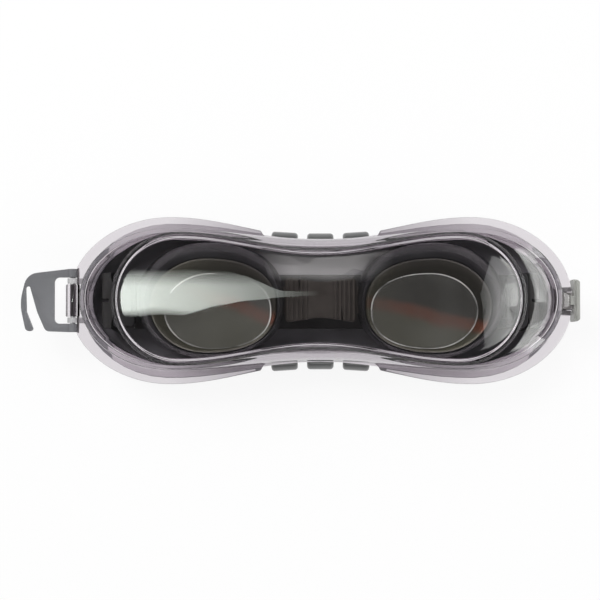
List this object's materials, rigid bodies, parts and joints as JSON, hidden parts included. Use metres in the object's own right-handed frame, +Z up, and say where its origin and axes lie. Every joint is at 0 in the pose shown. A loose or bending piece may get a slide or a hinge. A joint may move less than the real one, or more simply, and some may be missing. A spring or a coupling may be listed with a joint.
{
  "type": "swimming goggles in a travel case",
  "caption": "Swimming goggles with mirrored lenses lying in a hinged, peanut-shaped clear-lid case with a swing-out hanging hook and a thumb latch.",
  "frame": {"origin": "centre of the case's flat underside", "axes": "+X along the case, from the hook and hinge end towards the latch, +Y across the case towards the brow side of the goggles, +Z up through the lid"},
  "size_m": [0.2122, 0.0634, 0.045],
  "materials": {
    "case_grey": "fine matte mould finish",
    "clear_plastic": "clear, polished",
    "steel": "bright drawn wire",
    "hook_grey": "satin",
    "latch_grey": "satin",
    "pad_rubber": "soft, slightly glossy",
    "frame_charcoal": "satin",
    "lens_mirror": "olive smoke with a mirror coat",
    "film": "thin clear film",
    "seal_silicone": "soft matte",
    "bridge_soft": "soft satin",
    "buckle_grey": "satin",
    "button_grey": "satin",
    "strap_silicone": "soft matte"
  },
  "bodies": {
    "case": {"case_base": "case_grey", "hinge_pin": "steel", "latch_pin": "steel", "grip_pad_front_1": "pad_rubber", "grip_pad_front_2": "pad_rubber", "grip_pad_front_3": "pad_rubber", "grip_pad_rear_1": "pad_rubber", "grip_pad_rear_2": "pad_rubber", "grip_pad_rear_3": "pad_rubber", "eye_frame_left": "frame_charcoal", "eye_frame_right": "frame_charcoal", "lens_left": "lens_mirror", "lens_right": "lens_mirror", "film_left": "film", "film_right": "film", "eye_seal_left": "seal_silicone", "eye_seal_right": "seal_silicone", "nose_bridge": "bridge_soft", "buckle_left": "buckle_grey", "buckle_right": "buckle_grey", "strap": "strap_silicone"},
    "lid": {"case_lid": "clear_plastic"},
    "hook": {"hanging_hook": "hook_grey"},
    "latch": {"latch_tab": "latch_grey"},
    "button_left": {"release_button_left": "button_grey"},
    "button_right": {"release_button_right": "button_grey"}
  },
  "joints": [
    {"name": "lid_hinge", "type": "hinge", "parent": "case", "child": "lid", "pos_m": [-0.0942, 0, 0.02215], "axis": [0, -1, 0], "range_deg": [0, 100]},
    {"name": "hook_swing", "type": "hinge", "parent": "case", "child": "hook", "pos_m": [-0.0942, 0, 0.02215], "axis": [0, -1, 0], "range_deg": [0, 90]},
    {"name": "latch_tilt", "type": "hinge", "parent": "case", "child": "latch", "pos_m": [0.0927, 0, 0.0145], "axis": [0, 1, 0], "range_deg": [0, 15]},
    {"name": "button_left_press", "type": "slide", "parent": "case", "child": "button_left", "axis": [0, 0, -1], "range_m": [0, 0.0012], "stiffness_N_per_m": 300, "springref_m": -0.0004},
    {"name": "button_right_press", "type": "slide", "parent": "case", "child": "button_right", "axis": [0, 0, -1], "range_m": [0, 0.0012], "stiffness_N_per_m": 300, "springref_m": -0.0004}
  ]
}
